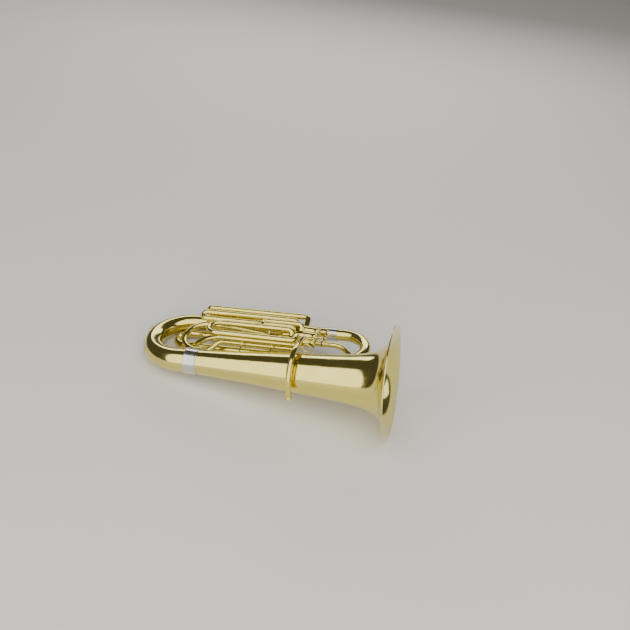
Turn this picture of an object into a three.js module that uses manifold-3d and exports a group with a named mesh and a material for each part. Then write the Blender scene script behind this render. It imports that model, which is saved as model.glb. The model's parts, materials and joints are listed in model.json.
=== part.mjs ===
// A three-quarter size tuba with three top-action pistons, lying on its back.
// Units are millimetres. Inside the group "tuba" the frame is the instrument's own:
// +X runs up the bell's axis to the rim, which is the plane x = 0, +Y points from the bell to
// the second branch, and +Z points out of the valve side. The group is then laid on the ground.
import * as THREE from 'three';
import { mergeVertices } from 'three/addons/utils/BufferGeometryUtils.js';
import Module from 'manifold-3d';

const wasm = await Module();
wasm.setup();

// ---- Driving dimensions -------------------------------------------------------------------
const RIM_R = 185;              // half the bell's 370 mm mouth
const GAP = 0.3;                // air between pieces that touch
const SHEET = 0.8;              // wall of the bell, bows and branches
const BELL_SIDES = 28;
const TUBE_SIDES = 10;          // the small tubing

const FERRULE_X = [-667, -625]; // nickel-silver band where the bell meets the bottom bow
const BELL_START_X = -646;
const BOW_TURN_X = -704;        // where the bottom bow starts to turn
const BOW_R = 120.5;            // bottom bow, bend radius of the centre line
const BOW_RADII = [39.9, 25.3]; // outer radius at the bell end and at the far end

const TOP_BOW_END_X = -241;     // joint of the second branch and the top bow
const TOP_BOW_R = 81.5;
const BRANCH_END_R = 20.5;      // second branch at the top bow
const THIRD_R = [17.3, 13.6];   // third branch, from the top bow to the inner bottom bow
const SMALL_R = 9.6;            // outer radius of the cylindrical tubing
const BORE_R = 8.2;             // inside of the valve tubing

const SLIDE_R = 8.7;            // outer radius of an inner slide leg
const SLEEVE_R = 9.8;           // outer radius of the tube it slides in
const SLEEVE_BORE_R = 9.25;
const PORT_BEND_R = 12;         // bend of the pipes that enter the valves

const VALVE_Y = [125, 160, 195];
const VALVE_Z = 40;
const CASING_R = 15.5;
const CASING_BORE_R = 14.3;
const CASING_SIDES = 14;
const CASING_X = [-384, -276.5];
const PISTON_R = 13.6;
const PISTON_X = [-351, -277.5];
const PISTON_TRAVEL = 17;
const CAP_R = 16.8;
const BUTTON_X = -241.5;
const BUTTON_R = 11;
const STEM_R = 3;

const REST_PITCH = -9.43;       // degrees about Y: the bell's mouth is wider than the bows
const REST_ROLL = -6.57;        // degrees about X: it rolls over to its heavier, branch side

// ---- Finishes -----------------------------------------------------------------------------
const FINISH = {
  brass: { color: 0xe3c468, roughness: 0.16, metalness: 1 },
  nickel: { color: 0xc9c7c0, roughness: 0.22, metalness: 1 },
  steel: { color: 0xb8babc, roughness: 0.3, metalness: 1 },
  felt: { color: 0x8c1f24, roughness: 0.95, metalness: 0 },
  cork: { color: 0xb48a5a, roughness: 0.85, metalness: 0 },
};

const tuba = new THREE.Group();

function add(name, geometry, finish = 'brass') {
  const material = new THREE.MeshStandardMaterial(FINISH[finish]);
  const mesh = new THREE.Mesh(geometry, material);
  mesh.name = name;
  tuba.add(mesh);
  return mesh;
}

// ---- Joining and cutting ------------------------------------------------------------------
function toSolid(geometry) {
  const bare = geometry.clone();
  bare.deleteAttribute('normal');
  bare.deleteAttribute('uv');
  const merged = mergeVertices(bare, 1e-4);
  const vertProperties = new Float32Array(merged.attributes.position.array);
  const triVerts = new Uint32Array(merged.index.array);
  return new wasm.Manifold(new wasm.Mesh({ numProp: 3, vertProperties, triVerts }));
}

function toGeometry(solid) {
  const mesh = solid.getMesh();
  const geometry = new THREE.BufferGeometry();
  geometry.setAttribute('position', new THREE.BufferAttribute(mesh.vertProperties, 3));
  geometry.setIndex(new THREE.BufferAttribute(mesh.triVerts, 1));
  return geometry;
}

function join(...geometries) {
  return toGeometry(geometries.map(toSolid).reduce((a, b) => a.add(b)));
}

function cut(geometry, ...tools) {
  return toGeometry(tools.map(toSolid).reduce((a, b) => a.subtract(b), toSolid(geometry)));
}

// ---- Turned pieces ------------------------------------------------------------------------
// A closed section of [radius, height] pairs, listed either way round, turned about Y.
function lathe(section, sides) {
  const points = section.map(([r, h]) => new THREE.Vector2(r, h));
  if (THREE.ShapeUtils.area(points) < 0) {
    points.reverse();
  }
  return new THREE.LatheGeometry(points, sides);
}

// A profile is a list of [x, radius] pairs, turned about a line parallel to X.
function turned(profile, sides, y = 0, z = 0) {
  const geometry = lathe(profile.map(([x, r]) => [r, x]), sides);
  geometry.rotateZ(-Math.PI / 2);
  geometry.translate(0, y, z);
  return geometry;
}

function sleeve(x0, x1, rOut, rIn, sides, y = 0, z = 0) {
  return turned([[x0, rOut], [x0, rIn], [x1, rIn], [x1, rOut], [x0, rOut]], sides, y, z);
}

function plug(x0, x1, r, sides, y = 0, z = 0) {
  return turned([[x0, 0], [x1, 0], [x1, r], [x0, r], [x0, 0]], sides, y, z);
}

function rod(from, to, r, sides = 8) {
  const a = new THREE.Vector3(...from);
  const b = new THREE.Vector3(...to);
  const geometry = new THREE.CylinderGeometry(r, r, a.distanceTo(b), sides);
  const up = new THREE.Vector3(0, 1, 0);
  const direction = b.clone().sub(a).normalize();
  geometry.applyQuaternion(new THREE.Quaternion().setFromUnitVectors(up, direction));
  geometry.translate(...a.add(b).multiplyScalar(0.5).toArray());
  return geometry;
}

// ---- Bent tubes ---------------------------------------------------------------------------
// A curve through given stations, read without any change of spacing, so that the tube has its
// rings exactly at the stations.
class StationCurve extends THREE.Curve {
  constructor(stations) {
    super();
    this.stations = stations;
  }

  getPoint(t, target = new THREE.Vector3()) {
    const place = Math.min(Math.max(t, 0), 1) * (this.stations.length - 1);
    const low = Math.min(Math.floor(place), this.stations.length - 2);
    return target.lerpVectors(this.stations[low], this.stations[low + 1], place - low);
  }

  getUtoTmapping(u) {
    return u;
  }
}

// Stations along straight runs between corners, each corner rounded to the bend radius.
function bend(corners, radius, degreesPerStep = 18) {
  const points = corners.map((c) => new THREE.Vector3(...c));
  const stations = [points[0]];
  for (let i = 1; i < points.length - 1; i += 1) {
    const before = points[i].clone().sub(points[i - 1]).normalize();
    const after = points[i + 1].clone().sub(points[i]).normalize();
    const angle = before.angleTo(after);
    const inset = radius * Math.tan(angle / 2);
    const start = points[i].clone().addScaledVector(before, -inset);
    const inward = after.clone().sub(before).normalize();
    const centre = points[i].clone().addScaledVector(inward, radius / Math.cos(angle / 2));
    const axis = before.clone().cross(after).normalize();
    const steps = Math.max(2, Math.round(THREE.MathUtils.radToDeg(angle) / degreesPerStep));
    const arm = start.clone().sub(centre);
    for (let k = 0; k <= steps; k += 1) {
      const station = arm.clone().applyAxisAngle(axis, (angle * k) / steps).add(centre);
      if (station.distanceTo(stations[stations.length - 1]) > 1) {
        stations.push(station);
      }
    }
  }
  const end = points[points.length - 1];
  if (end.distanceTo(stations[stations.length - 1]) > 1) {
    stations.push(end);
  }
  return stations;
}

function smooth(corners, steps) {
  const curve = new THREE.CatmullRomCurve3(corners.map((c) => new THREE.Vector3(...c)));
  return curve.getSpacedPoints(steps);
}

function circle(r, sides, from = 0, sweep = 2 * Math.PI) {
  const closed = sweep > 6.28;
  const count = closed ? sides : sides + 1;
  return Array.from({ length: count }, (_, i) => {
    const a = from + (sweep * i) / sides;
    return new THREE.Vector2(r * Math.cos(a), r * Math.sin(a));
  });
}

// A pipe of wall thickness `wall` along the stations. radii is one outer radius, or the outer
// radii at the two ends, between which the pipe tapers with distance along it.
function pipe(stations, radii, wall, sides) {
  const [r0, r1] = Array.isArray(radii) ? radii : [radii, radii];
  const curve = new StationCurve(stations);
  const shape = new THREE.Shape(circle(r0, sides));
  shape.holes.push(new THREE.Path(circle(r0 - wall, sides)));
  const steps = stations.length - 1;
  const options = { steps, extrudePath: curve, bevelEnabled: false, curveSegments: 1 };
  const geometry = new THREE.ExtrudeGeometry(shape, options);
  if (r0 !== r1) {
    taper(geometry, curve, r0, r1, wall);
  }
  return geometry;
}

// Moves each vertex along its spoke from the centre line, so that ring k of the pipe has the
// radius that its share of the length asks for.
function taper(geometry, curve, r0, r1, wall) {
  const stations = curve.stations;
  const travelled = [0];
  for (let k = 1; k < stations.length; k += 1) {
    travelled.push(travelled[k - 1] + stations[k].distanceTo(stations[k - 1]));
  }
  const whole = travelled[travelled.length - 1];
  const tangents = stations.map((_, k) => curve.getTangent(k / (stations.length - 1)));
  const position = geometry.attributes.position;
  const vertex = new THREE.Vector3();
  const spoke = new THREE.Vector3();
  for (let i = 0; i < position.count; i += 1) {
    vertex.fromBufferAttribute(position, i);
    let best = Infinity;
    let ring = 0;
    let inner = false;
    stations.forEach((station, k) => {
      spoke.subVectors(vertex, station);
      const off = Math.abs(spoke.dot(tangents[k]));
      const outerMiss = off + Math.abs(spoke.length() - r0);
      const innerMiss = off + Math.abs(spoke.length() - r0 + wall);
      if (Math.min(outerMiss, innerMiss) < best) {
        best = Math.min(outerMiss, innerMiss);
        ring = k;
        inner = innerMiss < outerMiss;
      }
    });
    const outer = r0 + ((r1 - r0) * travelled[ring]) / whole;
    spoke.subVectors(vertex, stations[ring]).setLength(inner ? outer - wall : outer);
    vertex.addVectors(stations[ring], spoke);
    position.setXYZ(i, vertex.x, vertex.y, vertex.z);
  }
}

// ---- Bell ---------------------------------------------------------------------------------
// Outer profile of the bell: a slowly widening throat and a short flare.
const BELL_PROFILE = new THREE.SplineCurve([
  [BELL_START_X, 40.2], [-560, 44.8], [-487, 49.4], [-390, 57], [-292, 64.6], [-195, 71.6],
  [-117, 80.5], [-72, 90.5], [-40, 106], [-17, 133], [-3, 167], [-1.5, 180.7],
].map(([x, r]) => new THREE.Vector2(x, r)));

function bell() {
  const steps = 12;
  const outer = BELL_PROFILE.getPoints(steps);
  const inner = outer.map((p, i) => {
    const along = BELL_PROFILE.getTangent(i / steps);
    return new THREE.Vector2(p.x + along.y * SHEET, p.y - along.x * SHEET);
  });
  inner[0].x = outer[0].x;
  const loop = [...outer, ...inner.reverse(), outer[0]];
  return turned(loop.map((p) => [p.x, p.y]), BELL_SIDES);
}

function rimWire() {
  const [low, high] = [RIM_R - 4, RIM_R];
  const section = [
    [0, low + 0.8], [0, high - 0.8], [-1.4, high], [-3.4, high], [-4.4, high - 1.6],
    [-3.4, low], [0, low + 0.8],
  ];
  return turned(section, BELL_SIDES);
}

add('bell', bell());
add('bell_rim_wire', rimWire());
add('bell_ferrule', sleeve(...FERRULE_X, 43, 42, BELL_SIDES), 'nickel');

// ---- Bows and branches --------------------------------------------------------------------
const bowLeft = BOW_TURN_X - BOW_R;
const BRANCH_SPREAD = 0.031;     // the second branch leans away from the bell
const branchY = (x) => 2 * BOW_R + (x - BOW_TURN_X) * BRANCH_SPREAD;
const BOW_END_X = -655;

const BOW_SIDES = 16;
const bowStations = bend([
  [BELL_START_X - GAP, 0, 0], [bowLeft, 0, 0], [bowLeft, 2 * BOW_R, 0],
  [BOW_TURN_X, 2 * BOW_R, 0], [BOW_END_X, branchY(BOW_END_X), 0],
], BOW_R, 18);
add('bottom_bow', pipe(bowStations, BOW_RADII, SHEET, BOW_SIDES));
add('second_branch', pipe([
  new THREE.Vector3(BOW_END_X + GAP, branchY(BOW_END_X), 0),
  new THREE.Vector3(TOP_BOW_END_X - GAP, branchY(TOP_BOW_END_X), 0),
], [BOW_RADII[1], BRANCH_END_R], SHEET, 20));

function bandOn(x, y0, y1, z0, z1, half, r) {
  return pipe([new THREE.Vector3(x - half, y0, z0), new THREE.Vector3(x + half, y1, z1)],
    r, 0.9, 20);
}
add('second_branch_ferrule', bandOn(BOW_END_X, branchY(BOW_END_X - 15), branchY(BOW_END_X + 15),
  0, 0, 15, BOW_RADII[1] + 2.1), 'nickel');
add('top_bow_ferrule', bandOn(TOP_BOW_END_X, branchY(TOP_BOW_END_X - 17),
  branchY(TOP_BOW_END_X + 17), 0, 0, 17, BRANCH_END_R + 1.9), 'nickel');

const TOP_BOW_X = -117;
const TOP_NEAR = [93, -3];
const TOP_NEAR_X = -214;
add('top_bow', pipe(bend([
  [TOP_BOW_END_X + GAP, branchY(TOP_BOW_END_X), 0], [TOP_BOW_X, branchY(TOP_BOW_X), 0],
  [TOP_BOW_X, ...TOP_NEAR], [TOP_NEAR_X, ...TOP_NEAR],
], TOP_BOW_R, 20), [BRANCH_END_R - 0.1, THIRD_R[0] + 0.1], SHEET, 14));

const INNER_NEAR = [118, -20];
const INNER_FAR = [200, -22];
const INNER_X = -712;
const LEVEL = 30;               // straight length at a joint, before a branch leans
add('third_branch', pipe(bend([
  [TOP_NEAR_X - GAP, ...TOP_NEAR], [TOP_NEAR_X - LEVEL, ...TOP_NEAR],
  [INNER_X + LEVEL, ...INNER_NEAR], [INNER_X + GAP, ...INNER_NEAR],
], 60, 90), THIRD_R, SHEET, 12));
add('third_branch_ferrule', sleeve(TOP_NEAR_X - 12, TOP_NEAR_X + 12, THIRD_R[0] + 1.9,
  THIRD_R[0] + 0.9, 16, ...TOP_NEAR), 'nickel');

const innerGap = Math.hypot(INNER_FAR[0] - INNER_NEAR[0], INNER_FAR[1] - INNER_NEAR[1]);
const innerLeft = INNER_X - innerGap / 2 - 5;
add('inner_bottom_bow', pipe(bend([
  [INNER_X, ...INNER_NEAR], [innerLeft, ...INNER_NEAR], [innerLeft, ...INNER_FAR],
  [INNER_X, ...INNER_FAR],
], innerGap / 2, 22.5), [THIRD_R[1] - 0.1, 12.3], SHEET, 10));

const SMALL_FAR = [188, 30];
const SMALL_X = -640;
const RETURN_X = -410;
add('inner_return_branch', pipe(bend([
  [INNER_X + GAP, ...INNER_FAR], [INNER_X + LEVEL, ...INNER_FAR], [RETURN_X, 206, -36],
  [RETURN_X, 188, 8], [SMALL_X + LEVEL, ...SMALL_FAR], [SMALL_X, ...SMALL_FAR],
], 22.8, 36), [12.2, SMALL_R], SHEET, 10));

const SMALL_NEAR = [54, 9];
const smallGap = Math.hypot(SMALL_FAR[0] - SMALL_NEAR[0], SMALL_FAR[1] - SMALL_NEAR[1]);
const smallLeft = -716;
add('small_bottom_bow', pipe(bend([
  [SMALL_X - GAP, ...SMALL_FAR], [smallLeft, ...SMALL_FAR], [smallLeft, ...SMALL_NEAR],
  [SMALL_X, ...SMALL_NEAR],
], smallGap / 2, 22.5), SMALL_R - 0.1, SHEET, TUBE_SIDES));

// ---- Tubes that end on a valve casing ------------------------------------------------------
const casingTools = VALVE_Y.map(
  (y) => plug(CASING_X[0] - 8, CASING_X[1] + 8, CASING_R + GAP, CASING_SIDES, y, VALVE_Z));

// ---- Main tuning slide and its run --------------------------------------------------------
const TUNE_TOP = [87, 49];
const TUNE_LOW = [96, 26];
const TUNE_TOP_X = [-577, -336];
const TUNE_LOW_X = [-553, -336];

add('tuning_link', pipe(bend([
  [SMALL_X + GAP, ...SMALL_NEAR], [-618, ...SMALL_NEAR], [-584, ...TUNE_LOW],
  [TUNE_LOW_X[0] - GAP, ...TUNE_LOW],
], 18, 30), SMALL_R - 0.3, SHEET, TUBE_SIDES));

// A pair of outer slide tubes, braced to each other. A tube with a port runs on in a pipe that
// follows the port's corners into a valve casing, and is trimmed to the casing's curve.
function sleeves(name, tubes, braces) {
  const solids = [];
  tubes.forEach(({ at, x, port }) => {
    solids.push(sleeve(...x, SLEEVE_R, SLEEVE_BORE_R, 10, ...at));
    if (port) {
      const corners = [[x[1] - 2, ...at], ...port];
      solids.push(pipe(bend(corners, PORT_BEND_R, 45), SLEEVE_R - 0.1, SHEET, 10));
    }
  });
  const [a, b] = tubes.map((tube) => tube.at);
  const reach = (SLEEVE_R - 0.7) / Math.hypot(b[0] - a[0], b[1] - a[1]);
  const between = (share) => [
    a[0] + (b[0] - a[0]) * share, a[1] + (b[1] - a[1]) * share,
  ];
  braces.forEach((x) => {
    solids.push(rod([x, ...between(reach)], [x, ...between(1 - reach)], 2.3, 6));
  });
  add(name, cut(join(...solids), ...casingTools));
}

sleeves('tuning_slide_sleeves', [
  { at: TUNE_TOP, x: TUNE_TOP_X },
  { at: TUNE_LOW, x: TUNE_LOW_X },
], [-536, -360]);

// An inner slide: two legs joined by a semicircular crook at crookX.
function slide(name, a, b, legX, crookX, degreesPerStep = 45) {
  const half = Math.hypot(b[0] - a[0], b[1] - a[1]) / 2;
  add(name, pipe(bend([
    [legX, ...a], [crookX, ...a], [crookX, ...b], [legX, ...b],
  ], half, degreesPerStep), SLIDE_R, SLIDE_R - BORE_R, 10));
}
slide('tuning_slide', TUNE_TOP, TUNE_LOW, -440, -322);

const BACK_START = [84, -44];
const BACK_END = [68, -50];
const BACK_X = -590;
add('tuning_bow', pipe([
  new THREE.Vector3(TUNE_TOP_X[0] - GAP, ...TUNE_TOP),
  ...smooth([
    [TUNE_TOP_X[0] - 8, ...TUNE_TOP], [-634, 87, 33], [-668, 87, 7], [-676, 86, -17],
    [-656, 85, -36], [-620, 84.5, -43], [BACK_X - 8, ...BACK_START],
  ], 10),
  new THREE.Vector3(BACK_X - GAP, ...BACK_START),
], SMALL_R - 0.3, SHEET, TUBE_SIDES));
add('tuning_bow_ferrule', pipe([
  new THREE.Vector3(TUNE_TOP_X[0] + 6, ...TUNE_TOP),
  new THREE.Vector3(TUNE_TOP_X[0] + 0.5, ...TUNE_TOP),
], SLEEVE_R + 1.4, 1, 14), 'nickel');

const EXIT_FAR = [187, 0];
const SMALL_TOP_X = -158;
const EXIT_X = -262;
const topGap = Math.hypot(EXIT_FAR[0] - BACK_END[0], EXIT_FAR[1] - BACK_END[1]);
add('small_top_bow', pipe(bend([
  [BACK_X, ...BACK_START], [BACK_X + LEVEL, ...BACK_START], [-230, ...BACK_END], [SMALL_TOP_X, ...BACK_END],
  [SMALL_TOP_X, ...EXIT_FAR], [EXIT_X, ...EXIT_FAR],
], topGap / 2 - 0.2, 30), SMALL_R - 0.4, SHEET, TUBE_SIDES));

// ---- Valves -------------------------------------------------------------------------------
function valve(number, y) {
  const z = VALVE_Z;
  add(`valve_${number}_casing`, sleeve(...CASING_X, CASING_R, CASING_BORE_R, CASING_SIDES, y, z));
  const low = CASING_X[0] - GAP;
  add(`valve_${number}_bottom_cap`, turned([
    [low, 0], [low, CAP_R - 1], [low - 2, CAP_R], [low - 6, CAP_R - 1], [low - 8, 9],
    [low - 8, 0], [low, 0],
  ], 12, y, z));
  const high = CASING_X[1] + GAP;
  add(`valve_${number}_top_cap`, turned([
    [high, STEM_R + 1], [high, CAP_R], [high + 5, CAP_R], [high + 7, 10],
    [high + 8, 9], [high + 8, STEM_R + 1], [high, STEM_R + 1],
  ], 12, y, z));
  const [p0, p1] = PISTON_X;
  add(`valve_${number}_piston`, turned([
    [p0, PISTON_R], [p0, PISTON_R - 1.2], [p1 - 3, PISTON_R - 1.2], [p1 - 3, 0], [p1, 0],
    [p1, PISTON_R], [p0, PISTON_R],
  ], CASING_SIDES, y, z), 'nickel');
  add(`valve_${number}_button`, turned([
    [p1 + GAP, 0], [p1 + GAP, STEM_R], [BUTTON_X - 6, STEM_R], [BUTTON_X - 5, BUTTON_R - 2],
    [BUTTON_X - 3, BUTTON_R], [BUTTON_X - 1, BUTTON_R - 0.6], [BUTTON_X, BUTTON_R - 2.5],
    [BUTTON_X, 0], [p1 + GAP, 0],
  ], 12, y, z));
  const turns = 4;
  const perTurn = 6;
  const [s0, s1] = [CASING_X[0] + 2, p1 - 5];
  const helix = Array.from({ length: turns * perTurn + 1 }, (_, k) => {
    const a = (2 * Math.PI * k) / perTurn;
    const x = s0 + ((s1 - s0) * k) / (turns * perTurn);
    return new THREE.Vector3(x, y + 10.6 * Math.cos(a), z + 10.6 * Math.sin(a));
  });
  const wire = new THREE.ExtrudeGeometry(new THREE.Shape(circle(0.7, 4)), {
    steps: turns * perTurn, extrudePath: new StationCurve(helix), bevelEnabled: false,
  });
  add(`valve_${number}_spring`, wire, 'steel');
}
VALVE_Y.forEach((y, i) => valve(i + 1, y));

const KNUCKLE_Z = VALVE_Z - 8;
[[1, -330], [2, -352]].forEach(([number, x]) => {
  const [a, b] = [VALVE_Y[number - 1], VALVE_Y[number]];
  const tube = rod([x, a + 8, KNUCKLE_Z], [x, b - 8, KNUCKLE_Z], SLIDE_R, 12);
  add(`knuckle_${number}_${number + 1}`, cut(tube, ...casingTools));
});

// ---- Valve slides -------------------------------------------------------------------------
// Centre lines as [y, z]. The first slide straddles the valves on the outside, the second is
// short, and the third is a double loop of a front and a back slide.
const FIRST_LOW = [81, 68];
const FIRST_TOP = [144, 68];
const SECOND_LOW = [163.7, 68.5];
const SECOND_TOP = [184, 68.5];
const FRONT_TOP = [218, 61];
const FRONT_LOW = [198, 48];
const BACK_TOP = [244, 63];
const BACK_LOW = [244, 38];
const PORT_X = [-352, -328, -320];   // places of the ports along the casings

const port = (x, leg, valveIndex) => [[x, ...leg], [x, VALVE_Y[valveIndex], VALVE_Z]];
sleeves('first_slide_sleeves', [
  { at: FIRST_LOW, x: [-570, -354], port: [
    [PORT_X[1], ...FIRST_LOW], [PORT_X[1], 113, 69.5], [PORT_X[1], 124, 42],
  ] },
  { at: FIRST_TOP, x: [-570, -376], port: port(PORT_X[0], FIRST_TOP, 0) },
], [-505, -420]);
slide('first_slide', FIRST_LOW, FIRST_TOP, -470, -625, 30);

sleeves('second_slide_sleeves', [
  { at: SECOND_LOW, x: [-440, -376], port: port(PORT_X[0], SECOND_LOW, 1) },
  { at: SECOND_TOP, x: [-440, -352], port: port(PORT_X[1], SECOND_TOP, 1) },
], [-432]);
slide('second_slide', SECOND_LOW, SECOND_TOP, -386, -457);

sleeves('third_front_slide_sleeves', [
  { at: FRONT_TOP, x: [-640, -376], port: port(PORT_X[0], FRONT_TOP, 2) },
  { at: FRONT_LOW, x: [-640, -425] },
], [-560]);
slide('third_front_slide', FRONT_TOP, FRONT_LOW, -530, -680);

sleeves('third_back_slide_sleeves', [
  { at: BACK_TOP, x: [-640, -346], port: port(PORT_X[2], BACK_TOP, 2) },
  { at: BACK_LOW, x: [-640, -425] },
], [-560]);
slide('third_back_slide', BACK_TOP, BACK_LOW, -530, -673);

add('third_return_bow', pipe(bend([
  [-425 + GAP, ...BACK_LOW], [-404, ...BACK_LOW], [-404, 221, 28], [-404, ...FRONT_LOW],
  [-425 + GAP, ...FRONT_LOW],
], 11.5, 45), SLEEVE_R - 0.4, SHEET, TUBE_SIDES));

const pullRing = new THREE.TorusGeometry(9.5, 1.2, 5, 14);
pullRing.translate(-457 - SLIDE_R - GAP - 10.9, (SECOND_LOW[0] + SECOND_TOP[0]) / 2, 68.5);
add('second_slide_pull_ring', join(pullRing), 'brass');

add('exit_tube', cut(pipe(bend([
  [EXIT_X - GAP, ...EXIT_FAR], [-296, ...EXIT_FAR], [-296, 194, 38],
], 13, 30), SMALL_R - 0.4, SHEET, TUBE_SIDES), ...casingTools));

// ---- Leadpipe and mouthpiece receiver -----------------------------------------------------
const LEAD_R = 88;              // the leadpipe's centre line round the bell's axis
const RECEIVER_Z = [-38, -10];
const leadArc = [-90, -72, -54, -36, -18, 2].map((degrees) => {
  const a = THREE.MathUtils.degToRad(degrees);
  return [-306 + (degrees + 90) * 0.03, LEAD_R * Math.sin(a), LEAD_R * Math.cos(a)];
});
add('leadpipe', cut(pipe([
  new THREE.Vector3(-306, -LEAD_R, RECEIVER_Z[1] + GAP),
  ...smooth([
    ...leadArc, [-303, 52, 82], [-302, 92, 72], [-301, 116, 58], [-301, 123, 44],
  ], 12),
], 9, SHEET, TUBE_SIDES), ...casingTools));

const receiver = lathe([
  [9.4, RECEIVER_Z[1]], [6.2, RECEIVER_Z[1]], [6.9, RECEIVER_Z[0]], [11, RECEIVER_Z[0]],
  [11, RECEIVER_Z[0] + 7], [9.9, RECEIVER_Z[0] + 9], [9.4, RECEIVER_Z[1]],
], 14);
receiver.rotateX(Math.PI / 2);
receiver.translate(-306, -LEAD_R, 0);
add('mouthpiece_receiver', receiver);

// ---- Braces and rings ---------------------------------------------------------------------
// A post with a round foot at each end.
function post(from, to, r, footR) {
  const a = new THREE.Vector3(...from);
  const b = new THREE.Vector3(...to);
  const long = a.distanceTo(b);
  const geometry = lathe([
    [0, 0], [footR, 0], [footR, 1], [r, 2], [r, long - 2], [footR, long - 1], [footR, long],
    [0, long], [0, 0],
  ], 8);
  const direction = b.clone().sub(a).normalize();
  geometry.applyQuaternion(
    new THREE.Quaternion().setFromUnitVectors(new THREE.Vector3(0, 1, 0), direction));
  geometry.translate(a.x, a.y, a.z);
  return geometry;
}

[[1, -503, 48.3], [2, -403, 56.2]].forEach(([number, x, bellR]) => {
  const [y, z] = TUNE_TOP;
  const out = Math.hypot(y, z);
  const from = (bellR + GAP + 0.2) / out;
  const to = (out - SLEEVE_R - GAP) / out;
  add(`bell_brace_${number}`, post([x, y * from, z * from], [x, y * to, z * to], 2.2, 4.6));
});

const thumbRing = new THREE.TorusGeometry(12.9, 1.7, 6, 18);
thumbRing.rotateX(Math.PI / 2);
thumbRing.translate(-276.5, 36, 74);
const thumbStub = rod([-295.4, 36, 78.3], [-290, 36, 74.3], 2.4, 8);
add('thumb_ring', join(thumbRing, thumbStub));

// The guard plate follows the bow's own stations and facets over the outside of its turn.
const GUARD_GAP = 0.4;
function bowGuard() {
  const isOuter = (p) => Math.abs(p.y - BOW_R) < BOW_R * Math.SQRT1_2 + 1 && p.x < BOW_TURN_X;
  const first = bowStations.findIndex(isOuter);
  const stations = bowStations.filter(isOuter);
  const travelled = [0];
  for (let k = 1; k < bowStations.length; k += 1) {
    travelled.push(travelled[k - 1] + bowStations[k].distanceTo(bowStations[k - 1]));
  }
  const radiusAt = (k) => {
    const share = travelled[k] / travelled[travelled.length - 1];
    return BOW_RADII[0] + (BOW_RADII[1] - BOW_RADII[0]) * share + GUARD_GAP + SHEET;
  };
  const [r0, r1] = [radiusAt(first), radiusAt(first + stations.length - 1)];
  const facet = (2 * Math.PI) / BOW_SIDES;
  const start = Math.PI / 2 - 2 * facet;
  const outer = circle(r0, 4, start, 4 * facet);
  const inner = circle(r0 - SHEET, 4, start, 4 * facet).reverse();
  const curve = new StationCurve(stations);
  const geometry = new THREE.ExtrudeGeometry(new THREE.Shape([...outer, ...inner]), {
    steps: stations.length - 1, extrudePath: curve, bevelEnabled: false,
  });
  taper(geometry, curve, r0, r1, SHEET);
  return geometry;
}
add('bow_guard', bowGuard(), 'nickel');

// ---- Water key on the tuning bow ----------------------------------------------------------
// A lever on a pin between two ears; its pad closes the drain hole on the bow's near side.
const KEY_X = -628;
const KEY_Y = 67;
const KEY_Z = -43;
const PIN_X = KEY_X + 20;

const block = (x0, x1, y0, y1, z0, z1) => {
  const geometry = new THREE.BoxGeometry(x1 - x0, y1 - y0, z1 - z0);
  geometry.translate((x0 + x1) / 2, (y0 + y1) / 2, (z0 + z1) / 2);
  return geometry;
};
const across = (z0, z1, r, sides = 10) => rod([PIN_X, KEY_Y, z0], [PIN_X, KEY_Y, z1], r, sides);

add('water_key_lever', cut(join(
  rod([KEY_X - 4, KEY_Y, KEY_Z], [KEY_X + 44, KEY_Y, KEY_Z], 1.8, 6),
  rod([KEY_X, KEY_Y, KEY_Z], [KEY_X, KEY_Y + 3.6, KEY_Z], 5, 10),
  across(KEY_Z - 3.4, KEY_Z + 0.6, 2.9),
), across(KEY_Z - 4, KEY_Z + 4, 1.4)));
add('water_key_cork', rod([KEY_X, 70.9, KEY_Z], [KEY_X, 73.2, KEY_Z], 4.4, 10), 'cork');
add('water_key_saddle', join(
  block(PIN_X - 4, PIN_X + 4, 71.6, 74.2, KEY_Z - 5.4, KEY_Z + 5.4),
  block(PIN_X - 3, PIN_X + 3, 64.4, 72, KEY_Z - 5.2, KEY_Z - 3.8),
  block(PIN_X - 3, PIN_X + 3, 64.4, 72, KEY_Z + 3.8, KEY_Z + 5.2),
  across(KEY_Z - 4.5, KEY_Z + 4.5, 1),
));
const coil = Array.from({ length: 7 }, (_, k) => {
  const a = (2 * Math.PI * k) / 6;
  return new THREE.Vector3(PIN_X + 2.1 * Math.sin(a), KEY_Y - 2.1 * Math.cos(a),
    KEY_Z + 2.4 + k * 0.14);
});
add('water_key_spring', new THREE.ExtrudeGeometry(new THREE.Shape(circle(0.4, 4)), {
  steps: 8, bevelEnabled: false, extrudePath: new StationCurve([
    new THREE.Vector3(PIN_X - 16, KEY_Y - 2.3, KEY_Z + 2.3),
    new THREE.Vector3(PIN_X - 4, KEY_Y - 2.4, KEY_Z + 2.3), ...coil]),
}), 'steel');

// ---- Laid on the ground -------------------------------------------------------------------
// The instrument lies on its rim and on both arms of the bottom bow. The middle of its box's
// lowest face is the origin.
const laid = new THREE.Group();
tuba.rotation.set(THREE.MathUtils.degToRad(REST_ROLL), THREE.MathUtils.degToRad(REST_PITCH), 0);
laid.add(tuba);
laid.updateMatrixWorld(true);
const box = new THREE.Box3().setFromObject(laid, true);
const middle = box.getCenter(new THREE.Vector3());
tuba.position.set(-middle.x, -middle.y, -box.min.z);

export default laid;
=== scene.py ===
import json

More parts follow.
